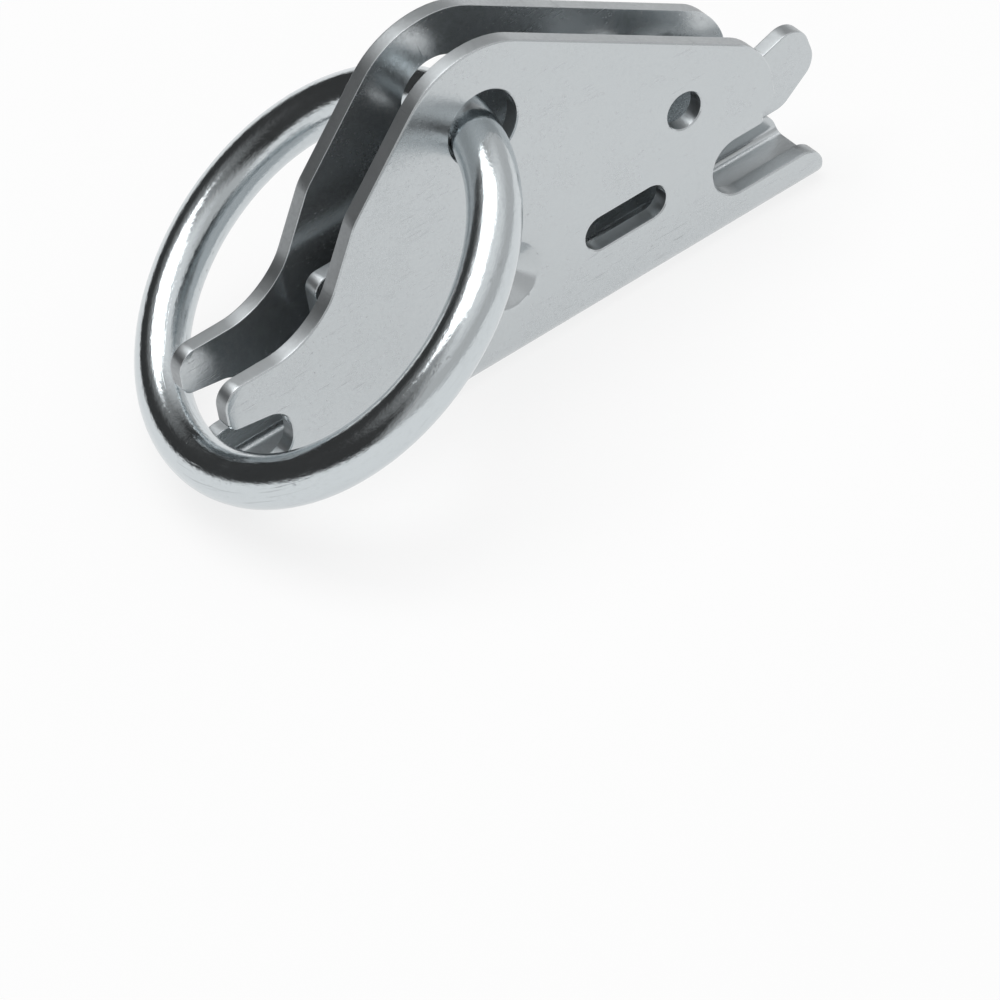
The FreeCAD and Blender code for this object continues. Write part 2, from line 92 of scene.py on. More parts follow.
class AnchorSizes(bpy.types.PropertyGroup):
    """Sizes of the four pieces."""

    sheet: millimetres(2.0, "Sheet", "Thickness of the folded steel sheet")
    width: millimetres(10.6, "Width", "Over the outer faces of the two side plates")
    bend: millimetres(3.0, "Bend", "Outer radius of the two folds")
    rolled_edge: millimetres(0.38, "Rolled edge", "Width of the edge that the punch rolls over outside")
    broken_edge: millimetres(0.14, "Broken edge", "Width of the burnished edge inside")
    hole_radius: millimetres(4.5, "Ring hole", "Radius of the hole in each plate for the ring")
    small_hole_radius: millimetres(2.25, "Small hole", "Radius of the small hole in each plate")
    window_length: millimetres(11.0, "Window", "Length of the long window in each plate")
    window_width: millimetres(4.2, "Window width", "Width of the long window in each plate")
    ring_radius: millimetres(23.0, "Ring", "Radius of the ring to the middle of its bar")
    ring_bar: millimetres(6.0, "Ring bar", "Diameter of the ring's bar")
    ring_lean: bpy.props.FloatProperty(
        name="Ring lean",
        description="Lean of the loose ring towards the far plate",
        default=math.radians(7.0),
        subtype="ANGLE",
    )
    latch: millimetres(2.0, "Latch", "Thickness of the latch plate")
    latch_hole: millimetres(3.0, "Latch hole", "Radius of the hole on which the latch turns")
    spring_coil: millimetres(2.4, "Spring", "Radius of the spring to the middle of its wire")
    spring_wire: millimetres(0.8, "Spring wire", "Diameter of the spring's wire")
    spring_turns: bpy.props.FloatProperty(
        name="Spring turns", description="Turns of the spring", default=6.5, min=1.0
    )


class AnchorFinish(bpy.types.PropertyGroup):
    """Colours and polish of the plated steel."""

    sheet_colour: panel_colour((0.565, 0.595, 0.61), "Sheet", "Colour of the plated sheet")
    ring_colour: panel_colour((0.60, 0.64, 0.66), "Ring", "Colour of the plated ring")
    spring_colour: panel_colour((0.36, 0.37, 0.39), "Spring", "Colour of the spring wire")
    sheet_roughness: panel_share(0.23, "Sheet roughness", "Roughness of the plated sheet")
    ring_roughness: panel_share(0.13, "Ring roughness", "Roughness of the plated ring")


# Outlines. Each corner is its place along X and Z and the radius of its round,
# in millimetres, anticlockwise as seen from the near side.

PLATE_CORNERS = (
    (-36.2, 0.0, 0.0),
    (42.2, 0.0, 0.0),
    (42.2, 5.0, 2.6),
    (27.7, 5.0, 3.45),
    (27.7, 12.2, 3.45),
    (35.2, 12.2, 0.5),
    (35.2, 13.9, 0.5),
    (37.2, 13.9, 1.4),
    (37.2, 21.9, 7.5),
    (-2.1, 46.2, 11.5),
    (-17.7, 29.9, 5.0),
    (-24.4, 18.1, 10.0),
    (-37.2, 18.1, 2.4),
    (-37.2, 12.9, 1.3),
    (-29.7, 11.7, 2.9),
    (-29.7, 5.6, 2.9),
    (-36.2, 5.6, 3.0),
)
LATCH_CORNERS = (
    (-21.6, 14.0, 1.7),
    (-16.5, 14.0, 0.0),
    (-16.5, 12.0, 0.5),
    (-13.5, 12.0, 0.5),
    (-13.5, 14.0, 0.0),
    (-7.45, 14.0, 2.0),
    (-5.45, 6.35, 4.0),
    (5.45, 6.35, 4.0),
    (7.45, 8.7, 2.0),
    (25.0, 8.7, 0.9),
    (25.0, 2.1, 0.9),
    (29.0, 2.1, 0.9),
    (29.0, 8.7, 0.9),
    (40.7, 8.7, 2.7),
    (45.9, 12.3, 2.7),
    (44.7, 18.6, 2.7),
    (38.1, 16.5, 2.7),
    (31.0, 21.4, 4.0),
    (-21.6, 21.4, 1.7),
)

# Half sections of what is pressed at the pivot: distance from the axis and
# distance from the middle plane, in millimetres. Each cone runs on through the
# plate's face, so that the two cross cleanly.
DIMPLE_SECTION = ((0.0, 2.9), (1.3, 2.9), (1.9, 3.12), (2.45, 3.5), (5.533, 6.5), (0.0, 6.5))
BOSS_SECTION = (
    (0.0, 0.12), (2.75, 0.12), (2.89, 0.18), (2.95, 0.32), (2.95, 1.1),
    (3.8, 1.1), (4.1, 1.2), (4.3, 1.5), (5.8, 4.2), (0.0, 4.2),
)
SPRING_X = -15.0 * MM
SPRING_FLOOR = 2.0 * MM
SPRING_TOP = 14.0 * MM
SEAT_RADIUS = 1.6 * MM
SEAT_FOOT = 1.0 * MM
SEAT_TOP = 3.2 * MM
RECESS_RADIUS = 1.3 * MM
RECESS_DEPTH = 1.2 * MM
SMALL_HOLE = Vector((25.3, 0.0, 19.8)) * MM
WINDOW = Vector((15.8, 0.0, 10.4)) * MM
LATCH_EDGE = 0.25 * MM

# The uncut sheet and the shapes that cut it are larger than the anchor.
BLANK_LENGTH = 100.0 * MM
BLANK_HEIGHT = 45.0 * MM
OUTLINE_DEPTH = 40.0 * MM
BAR_DEPTH = 30.0 * MM
LATCH_BAR_DEPTH = 10.0 * MM

# How finely the round shapes are divided.
BEND_STEPS = 12
SEAT_STEPS = 48
RING_STEPS = 240
RING_BAR_STEPS = 64
SPRING_STEPS = 40
SPRING_BAR_STEPS = 20

# Edges sharper than BEVEL_ABOVE are rounded. Slivers are merged first, and on the channel once more after.
BEVEL_ABOVE = math.radians(28)
BEVEL_PROFILE = 0.6
SLIVER_BEFORE = 0.008 * MM
SLIVER_AFTER = 0.03 * MM
RING_SEAM = 0.01 * MM

SMOOTH_BELOW = math.radians(32)
SPRING_SMOOTH_BELOW = math.radians(40)
NORMAL_WEIGHT = 60

# A skew direction to sort by, so that mirrored points don't tie.
SORT_DIRECTION = Vector((1.0, 0.7310585, 0.3141592))


# Modelling helpers


def deselect_all():
    if bpy.context.object and bpy.context.object.mode != "OBJECT":
        bpy.ops.object.mode_set(mode="OBJECT")
    bpy.ops.object.select_all(action="DESELECT")


def make_active(obj):
    deselect_all()
    obj.select_set(True)
    bpy.context.view_layer.objects.active = obj


def named(name):
    """The primitive that was just added, under its own name."""
    obj = bpy.context.object
    obj.name = name
    obj.data.name = name
    return obj


def apply_place(obj):
    make_active(obj)
    bpy.ops.object.transform_apply(location=True, rotation=True, scale=True)


def apply_modifier(obj, kind, **settings):
    make_active(obj)
    modifier = obj.modifiers.new(kind.title(), kind)
    for key, value in settings.items():
        setattr(modifier, key, value)
    bpy.ops.object.modifier_apply(modifier=modifier.name)


def give_material(obj, material):
    obj.data.materials.clear()
    obj.data.materials.append(material)


def merge_and_face_outwards(obj, distance=SAME_PLACE):
    make_active(obj)
    bpy.ops.object.mode_set(mode="EDIT")
    bpy.ops.mesh.select_all(action="SELECT")
    bpy.ops.mesh.remove_doubles(threshold=distance)
    bpy.ops.mesh.normals_make_consistent(inside=False)
    bpy.ops.object.mode_set(mode="OBJECT")


def corner_reach(corners, index):
    """How far along its two edges a corner's round starts."""
    before, here, after = (Vector(corners[(index + step) % len(corners)][:2]) for step in (-1, 0, 1))
    turn = (here - before).angle(after - here)
    return corners[index][2] * math.tan(turn / 2) * MM


def outline_block(name, corners, depth):
    """A flat block with the given outline, centred on the middle plane.

    It starts as a disc with one point for each corner.
    """
    deselect_all()
    bpy.ops.mesh.primitive_circle_add(vertices=len(corners), fill_type="NGON")
    obj = named(name)
    rounds = []
    for index, (across, up, radius) in enumerate(corners):
        vertex = obj.data.vertices[index]
        vertex.co = (across * MM, -depth / 2, up * MM)
        if radius > 0:
            rounds.append((Vector(vertex.co), corner_reach(corners, index)))
    for place, reach in rounds:
        round_corner(obj, place, reach)
    bpy.ops.object.mode_set(mode="EDIT")
    bpy.ops.mesh.select_all(action="SELECT")
    bpy.ops.mesh.extrude_region_move(TRANSFORM_OT_translate={"value": (0, depth, 0)})
    bpy.ops.mesh.select_all(action="SELECT")
    bpy.ops.mesh.normals_make_consistent(inside=False)
    bpy.ops.object.mode_set(mode="OBJECT")
    return obj


def round_corner(obj, place, reach, segments=14):
    """Bevel the one point of a flat outline that lies at a place."""
    bpy.ops.object.mode_set(mode="EDIT")
    mesh = bmesh.from_edit_mesh(obj.data)
    bpy.ops.mesh.select_all(action="DESELECT")
    nearest = min(mesh.verts, key=lambda vertex: (vertex.co - place).length)
    nearest.select = True
    mesh.select_flush_mode()
    bmesh.update_edit_mesh(obj.data)
    bpy.ops.mesh.bevel(
        offset=reach, offset_type="OFFSET", segments=segments, affect="VERTICES", clamp_overlap=False
    )
    bpy.ops.object.mode_set(mode="OBJECT")


def turned_plug(name, section, across, up, side, steps=96):
    """A solid turned about an axis along Y, from its half section."""
    deselect_all()
    bpy.ops.mesh.primitive_circle_add(vertices=len(section), fill_type="NOTHING")
    obj = named(name)
    for vertex, (radius, out) in zip(obj.data.vertices, section):
        vertex.co = (across + radius * MM, side * out * MM, up)
    bpy.ops.object.mode_set(mode="EDIT")
    bpy.ops.mesh.select_all(action="SELECT")
    bpy.ops.mesh.spin(steps=steps, angle=2 * math.pi, center=(across, 0, up), axis=(0, 1, 0))
    bpy.ops.object.mode_set(mode="OBJECT")
    merge_and_face_outwards(obj)
    return obj


def round_bar(name, centre, radius, depth, axis, vertices=96):
    """A cylinder along Y or Z."""
    deselect_all()
    turn = (math.pi / 2, 0, 0) if axis == "Y" else (0, 0, 0)
    bpy.ops.mesh.primitive_cylinder_add(
        vertices=vertices, radius=radius, depth=depth, location=centre, rotation=turn
    )
    obj = named(name)
    apply_place(obj)
    return obj


def window_bar(name, centre, length, width, depth):
    """A bar with full round ends, to cut the long window."""
    half = (length - width) / 2
    left = round_bar(name, centre - Vector((half, 0, 0)), width / 2, depth, "Y")
    make_active(left)
    bpy.ops.object.mode_set(mode="EDIT")
    mesh = bmesh.from_edit_mesh(left.data)
    bpy.ops.mesh.select_all(action="DESELECT")
    for vertex in mesh.verts:
        if vertex.co.x > centre.x - half + SAME_PLACE:
            vertex.select = True
    mesh.select_flush_mode()
    bmesh.update_edit_mesh(left.data)
    bpy.ops.transform.translate(value=(2 * half, 0, 0))
    bpy.ops.object.mode_set(mode="OBJECT")
    return left


def settle_order(obj):
    """Number points, edges and faces by their place, because a Boolean numbers them differently each run."""
    work = bmesh.new()
    work.from_mesh(obj.data)
    work.verts.sort(key=lambda vertex: vertex.co.dot(SORT_DIRECTION))
    work.edges.sort(key=lambda edge: (edge.verts[0].co + edge.verts[1].co).dot(SORT_DIRECTION))
    work.faces.sort(key=lambda face: face.calc_center_median().dot(SORT_DIRECTION))
    work.to_mesh(obj.data)
    work.free()


def combine(obj, other, operation):
    """Boolean another piece into this one and delete the other."""
    apply_modifier(obj, "BOOLEAN", object=other, operation=operation, solver="EXACT", use_self=False)
    bpy.data.objects.remove(other)
    settle_order(obj)


def bevel_edges(obj, weight_of, width, segments=3):
    """Round the sharp edges, each by its own share of a width."""
    merge_and_face_outwards(obj, SLIVER_BEFORE)
    mesh = obj.data
    weights = mesh.attributes.new("bevel_weight_edge", "FLOAT", "EDGE")
    work = bmesh.new()
    work.from_mesh(mesh)
    work.edges.ensure_lookup_table()
    shares = [0.0] * len(work.edges)
    for edge in work.edges:
        if len(edge.link_faces) == 2 and edge.calc_face_angle() > BEVEL_ABOVE:
            shares[edge.index] = weight_of(edge)
    work.free()
    weights.data.foreach_set("value", shares)
    apply_modifier(
        obj, "BEVEL", limit_method="WEIGHT", width=width, segments=segments, profile=BEVEL_PROFILE,
        use_clamp_overlap=False, harden_normals=False,
    )


def smooth_shading(obj):
    make_active(obj)
    bpy.ops.object.shade_smooth_by_angle(angle=SMOOTH_BELOW)
    apply_modifier(obj, "WEIGHTED_NORMAL", keep_sharp=True, weight=NORMAL_WEIGHT)


# Pieces


def fold_sheet(sizes):
    """The sheet folded into a channel, before its ends and notches are cut."""
    half_flat = sizes.width / 2 - sizes.bend
    middle = sizes.sheet / 2
    deselect_all()
    bpy.ops.mesh.primitive_plane_add(size=1, location=(0.0, 0.0, middle))
    obj = named("channel")
    obj.scale = (BLANK_LENGTH, 2 * half_flat, 1)
    apply_place(obj)
    for side in (-1, 1):
        fold_side(obj, side, half_flat, sizes)
    merge_and_face_outwards(obj)
    apply_modifier(obj, "SOLIDIFY", thickness=sizes.sheet, offset=0.0, use_even_offset=True)
    return obj


def fold_side(obj, side, half_flat, sizes):
    """Spin one long edge of the web round the fold, then draw the side plate up from it."""
    bpy.ops.object.mode_set(mode="EDIT")
    mesh = bmesh.from_edit_mesh(obj.data)
    bpy.ops.mesh.select_mode(type="EDGE")
    bpy.ops.mesh.select_all(action="DESELECT")
    for edge in mesh.edges:
        edge.select = all(abs(vertex.co.y - side * half_flat) < SAME_PLACE for vertex in edge.verts)
    bmesh.update_edit_mesh(obj.data)
    bpy.ops.mesh.spin(
        steps=BEND_STEPS, angle=math.pi / 2, center=(0, side * half_flat, sizes.bend), axis=(-side, 0, 0)
    )
    bpy.ops.mesh.extrude_region_move(TRANSFORM_OT_translate={"value": (0, 0, BLANK_HEIGHT)})
    bpy.ops.object.mode_set(mode="OBJECT")


def depth_in_sheet(place, sizes):
    """How far a point lies from the folded sheet's outer face, measured through the sheet."""
    across = abs(place.y)
    half_flat = sizes.width / 2 - sizes.bend
    if place.z >= sizes.bend:
        return sizes.width / 2 - across
    if across <= half_flat:
        return place.z
    return sizes.bend - math.hypot(across - half_flat, place.z - sizes.bend)


def channel_edge_share(sizes):
    """Full width along the sheet's outer face, less along its inner face, none elsewhere."""
    small = sizes.broken_edge / sizes.rolled_edge
    slack = 0.02 * MM

    def share(edge):
        depth = depth_in_sheet((edge.verts[0].co + edge.verts[1].co) / 2, sizes)
        if abs(depth) < slack:
            return 1.0
        if abs(depth - sizes.sheet) < slack:
            return small
        return 0.0

    return share


def refill_flat(obj, across):
    """Fill one flat side face afresh, so that no part of it folds over itself round its holes."""
    flatness = 0.002 * MM
    make_active(obj)
    bpy.ops.object.mode_set(mode="EDIT")
    bpy.ops.mesh.select_mode(type="FACE")
    bpy.ops.mesh.select_all(action="DESELECT")
    mesh = bmesh.from_edit_mesh(obj.data)
    for face in mesh.faces:
        face.select = all(abs(vertex.co.y - across) < flatness for vertex in face.verts)
    bmesh.update_edit_mesh(obj.data)
    bpy.ops.mesh.delete(type="ONLY_FACE")
    bpy.ops.mesh.select_mode(type="EDGE")
    bpy.ops.mesh.select_all(action="DESELECT")
    mesh = bmesh.from_edit_mesh(obj.data)
    stray = [edge for edge in mesh.edges if not edge.link_faces]
    bmesh.ops.delete(mesh, geom=stray, context="EDGES")
    for edge in mesh.edges:
        edge.select = edge.is_boundary
    bmesh.update_edit_mesh(obj.data)
    bpy.ops.mesh.fill(use_beauty=True)
    bpy.ops.mesh.select_all(action="SELECT")
    bpy.ops.mesh.normals_make_consistent(inside=False)
    bpy.ops.object.mode_set(mode="OBJECT")


class ANCHOR_OT_channel(bpy.types.Operator):
    """Model the folded sheet with its notches, holes, pressed pivot bosses and spring seat"""

    bl_idname = "anchor.channel"
    bl_label = "Folded channel"

    def execute(self, context):
        sizes = context.scene.anchor_sizes
        obj = fold_sheet(sizes)
        combine(obj, outline_block("outline", PLATE_CORNERS, OUTLINE_DEPTH), "INTERSECT")
        for place, radius in ((RING_HOLE, sizes.hole_radius), (SMALL_HOLE, sizes.small_hole_radius)):
            combine(obj, round_bar("hole", place, radius, BAR_DEPTH, "Y"), "DIFFERENCE")
        window = window_bar("window", WINDOW, sizes.window_length, sizes.window_width, BAR_DEPTH)
        combine(obj, window, "DIFFERENCE")
        for side in (-1, 1):
            combine(obj, turned_plug("boss", BOSS_SECTION, PIVOT.x, PIVOT.z, side), "UNION")
            combine(obj, turned_plug("dimple", DIMPLE_SECTION, PIVOT.x, PIVOT.z, side), "DIFFERENCE")
        seat = Vector((SPRING_X, 0, (SEAT_FOOT + SEAT_TOP) / 2))
        combine(obj, round_bar("seat", seat, SEAT_RADIUS, SEAT_TOP - SEAT_FOOT, "Z", SEAT_STEPS), "UNION")
        under_seat = Vector((SPRING_X, 0, 0))
        recess = round_bar("recess", under_seat, RECESS_RADIUS, 2 * RECESS_DEPTH, "Z", SEAT_STEPS)
        combine(obj, recess, "DIFFERENCE")
        bevel_edges(obj, channel_edge_share(sizes), sizes.rolled_edge)
        merge_and_face_outwards(obj, SLIVER_AFTER)
        for across in (sizes.width / 2, sizes.width / 2 - sizes.sheet):
            for side in (-1, 1):
                refill_flat(obj, side * across)
        smooth_shading(obj)
        give_material(obj, plated_sheet(context.scene.anchor_finish))
        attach(obj, "channel")
        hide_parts("channel_body")
        return {"FINISHED"}


class ANCHOR_OT_latch(bpy.types.Operator):
    """Model the flat latch plate with its foot, spring peg and finger nose"""

    bl_idname = "anchor.latch"
    bl_label = "Latch plate"

    def execute(self, context):
        sizes = context.scene.anchor_sizes
        obj = outline_block("latch_plate", LATCH_CORNERS, sizes.latch)
        combine(obj, round_bar("hole", PIVOT, sizes.latch_hole, LATCH_BAR_DEPTH, "Y"), "DIFFERENCE")
        face = sizes.latch / 2

        def on_a_face(edge):
            return float(all(abs(abs(vertex.co.y) - face) < SAME_PLACE for vertex in edge.verts))

        bevel_edges(obj, on_a_face, LATCH_EDGE)
        smooth_shading(obj)
        give_material(obj, plated_latch(context.scene.anchor_finish))
        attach(obj, "latch_arm")
        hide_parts("latch")
        return {"FINISHED"}


class ANCHOR_OT_ring(bpy.types.Operator):
    """Bend the round bar into the tie ring and lay it on the left lip"""

    bl_idname = "anchor.ring"
    bl_label = "Tie ring"

    def execute(self, context):
        sizes = context.scene.anchor_sizes
        low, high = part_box("tie_ring")
        centre = (low + high) / 2
        slope = math.atan2(RING_HOLE.z - centre.z, -centre.x)
        deselect_all()
        bpy.ops.mesh.primitive_circle_add(
            vertices=RING_BAR_STEPS, radius=sizes.ring_bar / 2, fill_type="NOTHING",
            location=(sizes.ring_radius, 0, 0), rotation=(math.pi / 2, 0, 0),
        )
        obj = named("ring")
        apply_place(obj)
        bpy.ops.object.mode_set(mode="EDIT")
        bpy.ops.mesh.select_all(action="SELECT")
        bpy.ops.mesh.spin(steps=RING_STEPS, angle=2 * math.pi, center=(0, 0, 0), axis=(0, 0, 1))
        bpy.ops.object.mode_set(mode="OBJECT")
        merge_and_face_outwards(obj, RING_SEAM)
        turn = Matrix.Rotation(-slope, 4, "Y") @ Matrix.Rotation(-sizes.ring_lean, 4, "X")
        obj.data.transform(Matrix.Translation(centre) @ turn)
        make_active(obj)
        bpy.ops.object.shade_smooth()
        give_material(obj, plated_ring(context.scene.anchor_finish, centre, turn))
        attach(obj, "ring")
        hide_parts("tie_ring")
        return {"FINISHED"}


class ANCHOR_OT_spring(bpy.types.Operator):
    """Coil the spring that stands between the web and the latch's tail"""

    bl_idname = "anchor.spring"
    bl_label = "Latch spring"

    def execute(self, context):
        sizes = context.scene.anchor_sizes
        wire = sizes.spring_wire / 2
        deselect_all()
        bpy.ops.mesh.primitive_circle_add(
            vertices=SPRING_BAR_STEPS, radius=wire, fill_type="NGON", location=(sizes.spring_coil, 0, 0),
            rotation=(math.pi / 2, 0, 0),
        )
        obj = named("spring")
        apply_place(obj)
        turns = sizes.spring_turns
        steps = int(SPRING_STEPS * turns)
        apply_modifier(
            obj, "SCREW", angle=2 * math.pi * turns, steps=steps, render_steps=steps,
            screw_offset=SPRING_TOP - SPRING_FLOOR - sizes.spring_wire, use_merge_vertices=False,
        )
        close_ends(obj)
        obj.data.transform(Matrix.Translation((SPRING_X, 0, SPRING_FLOOR + wire)))
        make_active(obj)
        bpy.ops.object.shade_smooth_by_angle(angle=SPRING_SMOOTH_BELOW)
        give_material(obj, spring_wire_steel(context.scene.anchor_finish))
        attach(obj, "channel")
        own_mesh(obj)
        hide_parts("latch_spring")
        return {"FINISHED"}


def close_ends(obj):
    """Fill the two open ends of a swept bar."""
    seam = 0.0001 * MM
    make_active(obj)
    bpy.ops.object.mode_set(mode="EDIT")
    bpy.ops.mesh.select_all(action="SELECT")
    bpy.ops.mesh.remove_doubles(threshold=seam)
    bpy.ops.mesh.fill_holes(sides=0)
    bpy.ops.mesh.select_all(action="SELECT")
    bpy.ops.mesh.normals_make_consistent(inside=False)
    bpy.ops.object.mode_set(mode="OBJECT")


# Materials

WEAR_GROUP = "Plated wear"

# Noises of the wear: scale, detail and roughness.
CLOUD_NOISE = (110.0, 5.0, 0.6)
GRAIN_NOISE = (2600.0, 3.0, 0.65)
SPOT_NOISE = (1500.0, 2.0, 0.5)
SPOT_PATCH_NOISE = (170.0, 2.0, 0.5)
SCRATCH_NOISE = (1.0, 1.0, 0.5)
SCRATCH_PATCH_NOISE = (75.0, 2.0, 0.5)

# Bands of those noises that are stretched, to the ranges given here or else from 0 to 1.
NOISE_BAND = (0.3, 0.7)
SPOT_BAND = (0.66, 0.76)
SPOT_PATCH_BAND = (0.48, 0.62)
SCRATCH_BAND = (0.68, 0.75)
SCRATCH_PATCH_BAND = (0.5, 0.62)
SCRATCH_PATCH_RANGE = (0.15, 1.0)
GRAIN_RANGE = (-0.05, 0.05)

# Scratches in three directions: their turn about Y, then the scale of their noise along X, Y and Z.
SCRATCH_RUNS = (
    (0.35, (190.0, 190.0, 4200.0)),
    (-0.6, (240.0, 240.0, 5200.0)),
    (1.3, (260.0, 260.0, 4600.0)),
)

# What each kind of mark adds to the roughness, takes from the tone and takes from the height.
SCRATCH_ROUGHER = 0.18
SPOT_ROUGHER = 0.25
PUNCHED_ROUGHER = 0.14
SCRATCH_DARKER = 0.35
CLOUD_DARKER = 0.5
MARKS_DARKER = 0.75
SCRATCH_DEEPER = 0.6

# Where a punched edge shows, by the parts of its own normal.
CUT_FACING = (0.05, 0.6)
CUT_ABOVE = (-0.15, 0.0)
# Across this band of the upward part of the normal, the painted shade on cut edges fades out, so cut edges
# that face up get none.
CUT_UPWARD = (0.74, 0.97)

MARK_COLOUR = (0.03, 0.03, 0.035, 1.0)
BUMP_DISTANCE = 0.0001

# Metres of pattern for one radian of the ring, about half of its real arc.
RING_DRAWN = 0.011

SHEET_WEAR = {"Cloud": 0.05, "Scratches": 0.5, "Spots": 0.25}
LATCH_WEAR = {"Cloud": 0.04, "Scratches": 0.3, "Spots": 0.2}
RING_WEAR = {"Cloud": 0.06, "Scratches": 0.6, "Spots": 0.45}
SPRING_WEAR = {"Cloud": 0.04, "Scratches": 0.2, "Spots": 0.2}
PLATE_BUMP = 0.1
RING_BUMP = 0.26
SPRING_BUMP = 0.05
PLATE_METALLIC = 0.9
# How much darker the cut edges of the sheet and the latch are: partly their own rougher finish, partly
# painted shade on the edges that face sideways.
SHEET_EDGE_DARK_AND_SHADE = 0.45
LATCH_EDGE_DARK_AND_SHADE = 0.3
SPRING_ROUGHNESS = 0.3

# Spacing of the nodes in the editor.
NODE_COLUMN = 220
NODE_ROW = 260


class NodeWeb:
    """Adds nodes to one node tree. Each value is a number, a colour or the socket that gives it."""

    def __init__(self, tree):
        self.tree = tree
        self.nodes = tree.nodes

    def feed(self, socket, value):
        if isinstance(value, bpy.types.NodeSocket):
            self.tree.links.new(value, socket)
        else:
            socket.default_value = value

    def set(self, node, **inputs):
        for key, value in inputs.items():
            self.feed(node.inputs[key.replace("_", " ")], value)

    def add(self, kind, **inputs):
        node = self.nodes.new(kind)
        self.set(node, **inputs)
        return node

    def maths(self, operation, one, two=None):
        node = self.nodes.new("ShaderNodeMath")
        node.operation = operation
        self.feed(node.inputs[0], one)
        if two is not None:
            self.feed(node.inputs[1], two)
        return node.outputs[0]

    def product(self, one, two):
        return self.maths("MULTIPLY", one, two)

    def total(self, *values):
        result = values[0]
        for value in values[1:]:
            result = self.maths("ADD", result, value)
        return result

    def ranged(self, value, band, to=(0.0, 1.0)):
        """Stretch a band of a value to another range, and hold it at the ends."""
        node = self.add(
            "ShaderNodeMapRange", Value=value, From_Min=band[0], From_Max=band[1], To_Min=to[0], To_Max=to[1]
        )
        return node.outputs["Result"]

    def noise(self, place, scale, detail, roughness):
        node = self.add("ShaderNodeTexNoise", Vector=place, Scale=scale, Detail=detail, Roughness=roughness)
        return node.outputs["Fac"]

    def arrange(self):
        """Stand each node one column left of the nodes that it feeds."""
        columns = {node.name: 0 for node in self.nodes}
        for _ in self.nodes:
            for link in self.tree.links:
                left = columns[link.to_node.name] + 1
                columns[link.from_node.name] = max(columns[link.from_node.name], left)
        rows = {}
        for node in self.nodes:
            column = columns[node.name]
            rows[column] = rows.get(column, 0) + 1
            node.location = (-NODE_COLUMN * column, -NODE_ROW * rows[column])


def new_material(name):
    material = bpy.data.materials.new(name)
    material.use_nodes = True
    return material


def plated_wear_group():
    """Fine scratches, clouded polish and pinprick spots that all the plated pieces share."""
    if WEAR_GROUP in bpy.data.node_groups:
        return bpy.data.node_groups[WEAR_GROUP]
    group = bpy.data.node_groups.new(WEAR_GROUP, "ShaderNodeTree")
    face = group.interface
    face.new_socket("Vector", in_out="INPUT", socket_type="NodeSocketVector")
    for name in ("Roughness", "Cloud", "Scratches", "Spots"):
        face.new_socket(name, in_out="INPUT", socket_type="NodeSocketFloat")
    for name in ("Tone", "Roughness", "Height"):
        face.new_socket(name, in_out="OUTPUT", socket_type="NodeSocketFloat")
    web = NodeWeb(group)
    given = web.add("NodeGroupInput").outputs
    result = web.add("NodeGroupOutput")
    place = given["Vector"]

    grain = web.noise(place, *GRAIN_NOISE)
    grained = web.ranged(grain, NOISE_BAND, GRAIN_RANGE)
    clouds = web.ranged(web.noise(place, *CLOUD_NOISE), NOISE_BAND, (-1.0, 1.0))
    clouds = web.product(clouds, given["Cloud"])
    scratches = web.product(scratch_mask(web, place), given["Scratches"])
    patches = web.ranged(web.noise(place, *SPOT_PATCH_NOISE), SPOT_PATCH_BAND)
    spots = web.product(web.ranged(web.noise(place, *SPOT_NOISE), SPOT_BAND), patches)
    spots = web.product(spots, given["Spots"])

    rough = web.total(
        clouds, given["Roughness"], grained,
        web.product(scratches, SCRATCH_ROUGHER), web.product(spots, SPOT_ROUGHER),
    )
    marks = web.total(
        web.product(scratches, SCRATCH_DARKER), spots, web.product(clouds, CLOUD_DARKER), grained
    )
    tone = web.maths("SUBTRACT", 1.0, web.product(marks, MARKS_DARKER))
    height = web.maths("SUBTRACT", grain, web.product(scratches, SCRATCH_DEEPER))
    web.set(result, Tone=tone, Roughness=rough, Height=web.maths("SUBTRACT", height, spots))
    web.arrange()
    return group


def scratch_mask(web, place):
    """Short fine scratches in three directions, scattered in patches."""
    runs = []
    for turn, stretch in SCRATCH_RUNS:
        lay = web.add("ShaderNodeMapping", Vector=place, Rotation=(0.0, turn, 0.0), Scale=stretch)
        runs.append(web.ranged(web.noise(lay.outputs["Vector"], *SCRATCH_NOISE), SCRATCH_BAND))
    patches = web.ranged(web.noise(place, *SCRATCH_PATCH_NOISE), SCRATCH_PATCH_BAND, SCRATCH_PATCH_RANGE)
    return web.product(web.total(*runs), patches)


def plated(name, colour, roughness, wear, bump, metallic=1.0, edge_dark_and_shade=0.0, ring_place=None):
    """Bright zinc plate over steel, with the shared wear.

    With edge_dark_and_shade, the punched edges are darker: partly their own rougher finish, partly painted
    shade where they face sideways rather than up. With ring_place, the marks run round the ring.
    """
    material = new_material(name)
    web = NodeWeb(material.node_tree)
    place = web.add("ShaderNodeTexCoord").outputs
    pattern = place["Object"]
    if ring_place:
        pattern = along_the_bar(web, pattern, *ring_place)
    worn = web.nodes.new("ShaderNodeGroup")
    worn.node_tree = plated_wear_group()
    web.set(worn, Vector=pattern, Roughness=roughness, **wear)
    tone = worn.outputs["Tone"]
    rough = worn.outputs["Roughness"]
    if edge_dark_and_shade:
        tone, rough = punched_edges_and_side_shade(web, place["Normal"], tone, rough, edge_dark_and_shade)
    tint = web.nodes.new("ShaderNodeMix")
    tint.data_type = "RGBA"
    for index, value in ((0, tone), (6, MARK_COLOUR), (7, (*colour, 1.0))):
        web.feed(tint.inputs[index], value)
    dent = web.add("ShaderNodeBump", Strength=bump, Distance=BUMP_DISTANCE, Height=worn.outputs["Height"])
    web.set(
        web.nodes["Principled BSDF"],
        Metallic=metallic, Base_Color=tint.outputs[2], Roughness=rough, Normal=dent.outputs["Normal"],
    )
    web.arrange()
    return material


